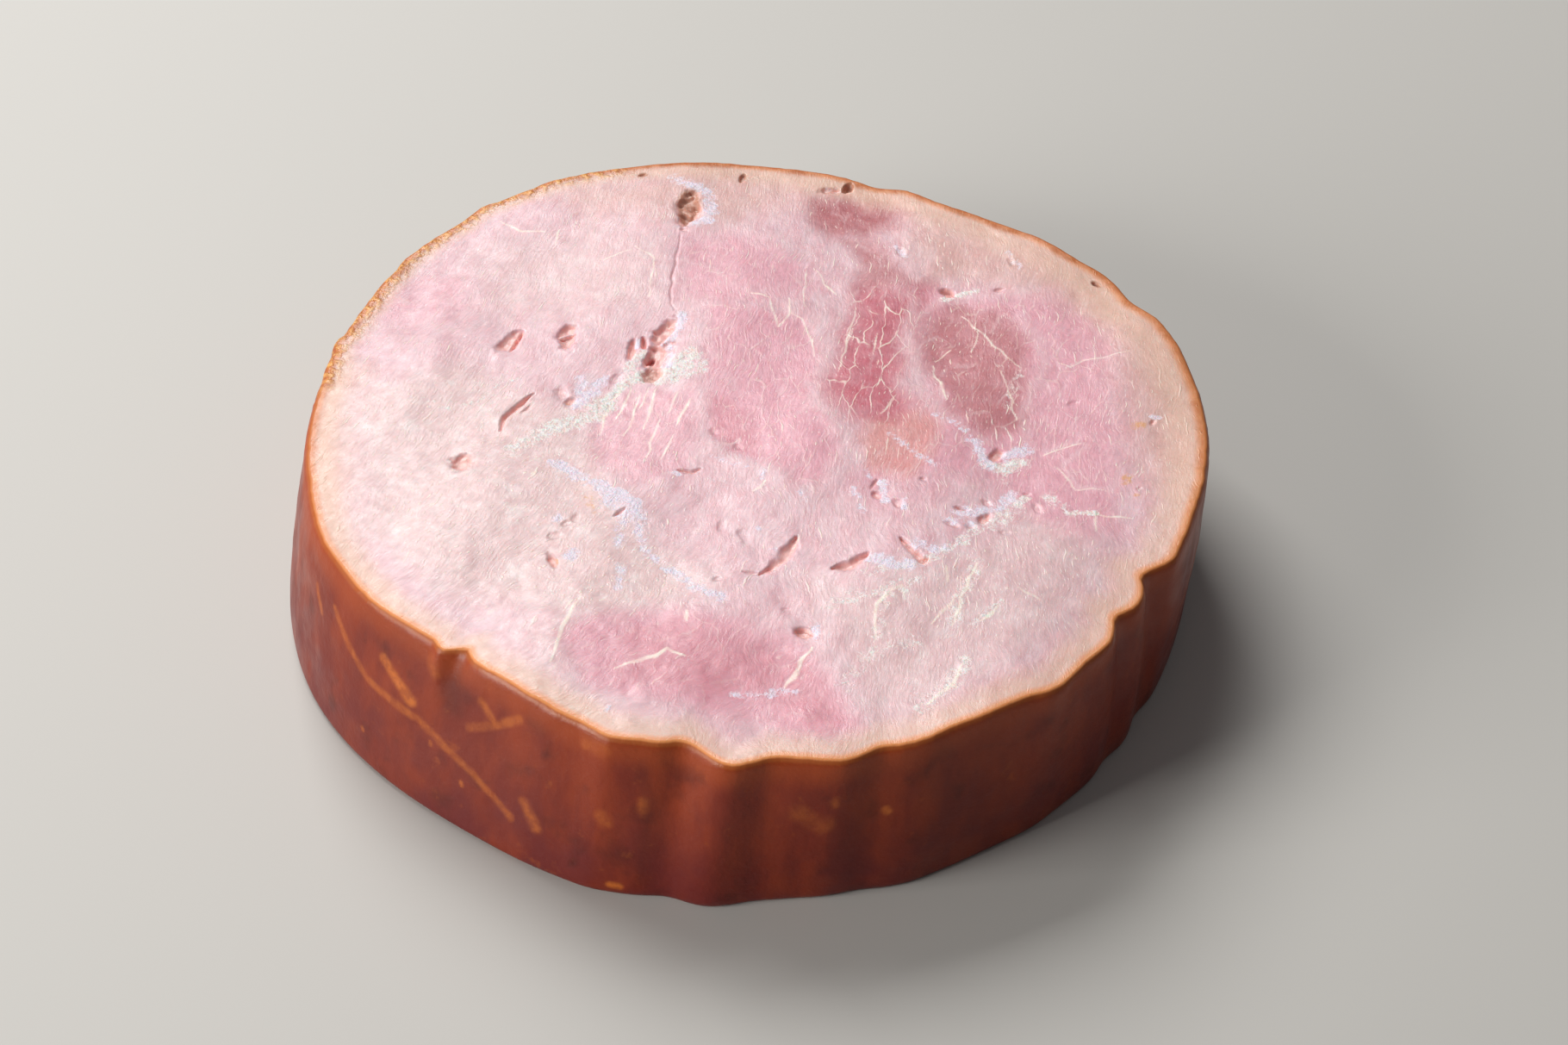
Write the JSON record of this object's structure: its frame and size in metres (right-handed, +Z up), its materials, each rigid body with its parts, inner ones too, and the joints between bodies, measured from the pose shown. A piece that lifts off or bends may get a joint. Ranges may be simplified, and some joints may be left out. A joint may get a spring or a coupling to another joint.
{
  "type": "smoked ham slice",
  "caption": "Thick round slice of boneless smoked ham: flat cut faces with small pits and cracks, and a fluted brown rind round the side.",
  "frame": {"origin": "middle of the slice's box, on the surface that the underside lies on", "axes": "+Z up out of the upper cut face, +Y away from the viewer of the picture, +X to the viewer's right"},
  "size_m": [0.1564, 0.1546, 0.0307],
  "materials": {
    "smoked_ham": "moist satin cut meat, glossy smoked rind"
  },
  "bodies": {
    "root": {"smoked_ham": "smoked_ham"}
  },
  "joints": []
}
